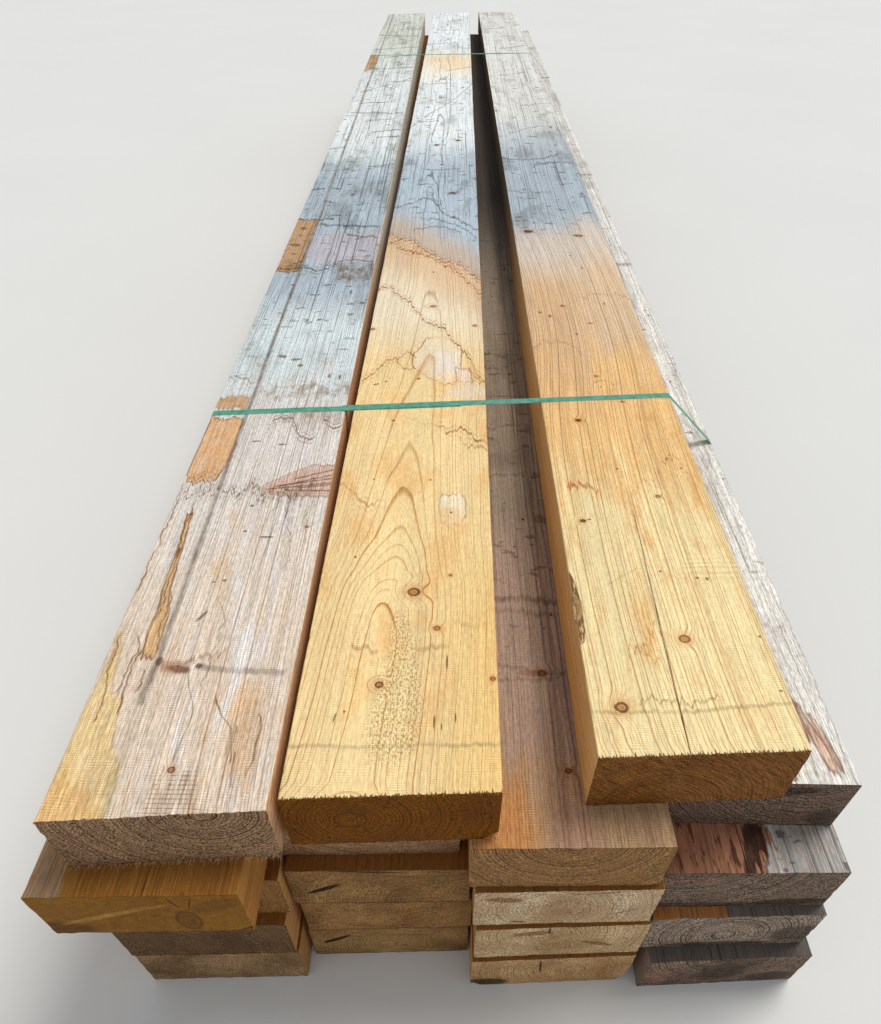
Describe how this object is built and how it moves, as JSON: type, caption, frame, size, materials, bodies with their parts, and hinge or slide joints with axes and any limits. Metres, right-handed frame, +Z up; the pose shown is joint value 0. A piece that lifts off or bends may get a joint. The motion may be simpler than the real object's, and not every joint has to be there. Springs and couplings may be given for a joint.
{
  "type": "strapped stack of timber beams",
  "caption": "Strapped stack of long rectangular sawn timber beams, weathered grey to golden, held by green plastic straps, lying on level ground.",
  "frame": {"origin": "on the ground under the middle of the stack", "axes": "+Y along the beams from the front end to the rear, +X to the right across the stack, +Z up"},
  "size_m": [1.257, 6.932, 0.702],
  "materials": {
    "golden_timber": "rough sawn",
    "grey_timber": "rough sawn, weathered",
    "tan_timber": "rough sawn",
    "brown_timber": "rough sawn, weathered",
    "green_strap": "embossed"
  },
  "bodies": {
    "root": {"bottom_tier_beam_1": "tan_timber", "bottom_tier_beam_2": "tan_timber", "bottom_tier_beam_3": "tan_timber", "bottom_tier_beam_4": "brown_timber", "second_tier_beam_1": "tan_timber", "second_tier_beam_2": "tan_timber", "second_tier_beam_3": "tan_timber", "second_tier_beam_4": "brown_timber", "third_tier_beam_1": "tan_timber", "third_tier_beam_2": "tan_timber", "third_tier_beam_3": "tan_timber", "third_tier_beam_4": "brown_timber", "fourth_tier_beam_1": "tan_timber", "fourth_tier_beam_2": "tan_timber", "fourth_tier_beam_3": "tan_timber", "fourth_tier_beam_4": "grey_timber", "top_tier_beam_1": "grey_timber", "top_tier_beam_2": "golden_timber", "top_tier_beam_3": "golden_timber", "front_strap": "green_strap", "rear_strap": "green_strap"}
  },
  "joints": []
}
